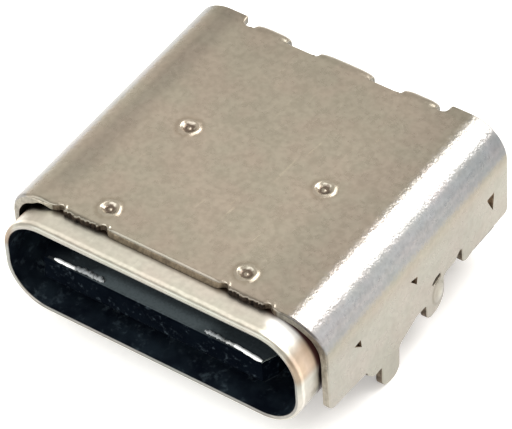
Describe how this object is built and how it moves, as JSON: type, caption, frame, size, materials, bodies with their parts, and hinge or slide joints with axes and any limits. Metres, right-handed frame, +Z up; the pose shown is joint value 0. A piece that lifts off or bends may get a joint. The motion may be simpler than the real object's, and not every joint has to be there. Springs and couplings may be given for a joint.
{
  "type": "usb-c socket",
  "caption": "Board-mount USB-C socket: folded metal outer shell with four board legs, tube-like inner shell at the plug mouth, dark contact tongue and rear solder feet.",
  "frame": {"origin": "centre of the plug mouth on the plane of the front rim", "axes": "+X to the right seen from the front, +Y into the socket, +Z up, away from the board"},
  "size_m": [0.0092, 0.0091, 0.0041],
  "materials": {
    "shell_nickel": "satin nickel plate with fine scratches",
    "inner_nickel": "satin nickel plate, smoother than the outer shell",
    "plate_steel": "bright bare steel",
    "pad_steel": "thin rolled steel",
    "contact_gold": "thin gold plate on copper alloy",
    "black_plastic": "moulded black, faintly blue"
  },
  "bodies": {
    "root": {"outer_shell": "shell_nickel", "inner_shell": "inner_nickel", "tongue_housing": "black_plastic", "mid_plate": "plate_steel", "upper_wafer": "black_plastic", "lower_wafer": "black_plastic", "rear_base": "black_plastic", "emi_pad_upper": "pad_steel", "emi_pad_lower": "pad_steel", "contact_a1": "contact_gold", "contact_a2": "contact_gold", "contact_a3": "contact_gold", "contact_a4": "contact_gold", "contact_a5": "contact_gold", "contact_a6": "contact_gold", "contact_a7": "contact_gold", "contact_a8": "contact_gold", "contact_a9": "contact_gold", "contact_a10": "contact_gold", "contact_a11": "contact_gold", "contact_a12": "contact_gold", "contact_b1": "contact_gold", "contact_b2": "contact_gold", "contact_b3": "contact_gold", "contact_b4": "contact_gold", "contact_b5": "contact_gold", "contact_b6": "contact_gold", "contact_b7": "contact_gold", "contact_b8": "contact_gold", "contact_b9": "contact_gold", "contact_b10": "contact_gold", "contact_b11": "contact_gold", "contact_b12": "contact_gold"}
  },
  "joints": []
}
